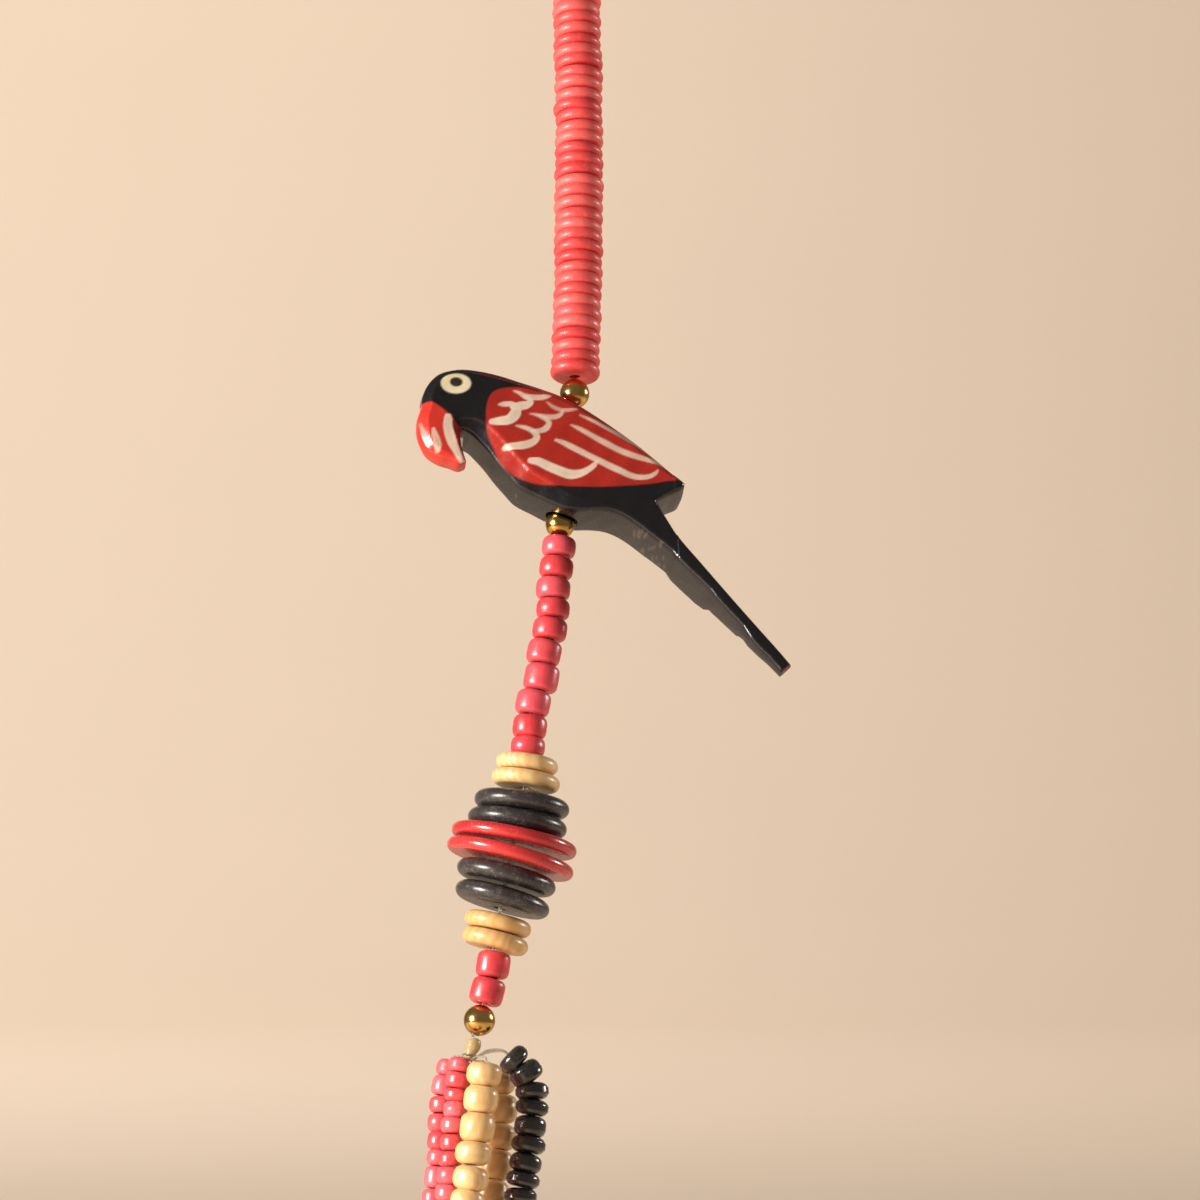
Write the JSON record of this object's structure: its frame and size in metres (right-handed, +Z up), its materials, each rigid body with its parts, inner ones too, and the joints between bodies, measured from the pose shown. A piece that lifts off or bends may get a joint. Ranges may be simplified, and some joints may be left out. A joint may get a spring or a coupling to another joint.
{
  "type": "beaded necklace",
  "caption": "Long beaded necklace: coral disc rope, a carved parrot each side, stacked wooden discs and hanging bead strands.",
  "frame": {"origin": "middle of the neck rope where it sits on the nape", "axes": "+Z up, -Y the way the wearer faces, +X the wearer's left"},
  "size_m": [0.1858, 0.1882, 0.3277],
  "materials": {
    "coral_disc": "dyed, satin, slightly dusty",
    "parrot_lacquer": "black lacquer with painted red wing and beak and cream strokes, semi-gloss",
    "brass": "polished, slightly aged",
    "red_barrel": "stained and lacquered, semi-gloss",
    "red_bead": "stained and lacquered, semi-gloss",
    "red_disc": "painted, semi-gloss, worn rim",
    "natural_wood": "clear lacquered pale wood, satin",
    "black_disc": "black stain, satin, scuffed",
    "black_bead": "black lacquer, glossy",
    "thread_glue": "clear nylon thread and amber glue"
  },
  "bodies": {
    "root": {"barrel_bead_01_l": "red_barrel", "barrel_bead_02_l": "red_barrel", "barrel_bead_03_l": "red_barrel", "barrel_bead_04_l": "red_barrel", "barrel_bead_05_l": "red_barrel", "barrel_bead_06_l": "red_barrel", "barrel_bead_07_l": "red_barrel", "barrel_bead_08_l": "red_barrel", "barrel_bead_09_l": "red_barrel", "barrel_bead_10_l": "red_barrel", "barrel_bead_11_l": "red_barrel", "barrel_bead_11_r": "red_barrel", "barrel_bead_12_l": "red_barrel", "barrel_bead_12_r": "red_barrel", "barrel_beads_upper_r": "red_barrel", "brass_bead_low_l": "brass", "brass_bead_low_r": "brass", "brass_bead_mid_l": "brass", "brass_bead_mid_r": "brass", "brass_bead_top_l": "brass", "brass_bead_top_r": "brass", "disc_01_l": "natural_wood", "disc_01_r": "natural_wood", "disc_02_l": "natural_wood", "disc_02_r": "natural_wood", "disc_03_l": "black_disc", "disc_03_r": "black_disc", "disc_04_l": "black_disc", "disc_04_r": "black_disc", "disc_05_l": "red_disc", "disc_05_r": "red_disc", "disc_06_l": "red_disc", "disc_06_r": "red_disc", "disc_07_l": "black_disc", "disc_07_r": "black_disc", "disc_08_l": "black_disc", "disc_08_r": "black_disc", "disc_09_l": "natural_wood", "disc_09_r": "natural_wood", "disc_10_l": "natural_wood", "disc_10_r": "natural_wood", "knot_l": "thread_glue", "knot_r": "thread_glue", "neck_rope_l": "coral_disc", "neck_rope_r": "coral_disc", "parrot_l": "parrot_lacquer", "parrot_r": "parrot_lacquer", "strand_black": "black_bead", "strand_natural_back": "natural_wood", "strand_natural_front": "natural_wood", "strand_red_inner": "red_bead", "strand_red_outer": "red_bead", "thread_l": "thread_glue", "thread_r": "thread_glue"}
  },
  "joints": []
}
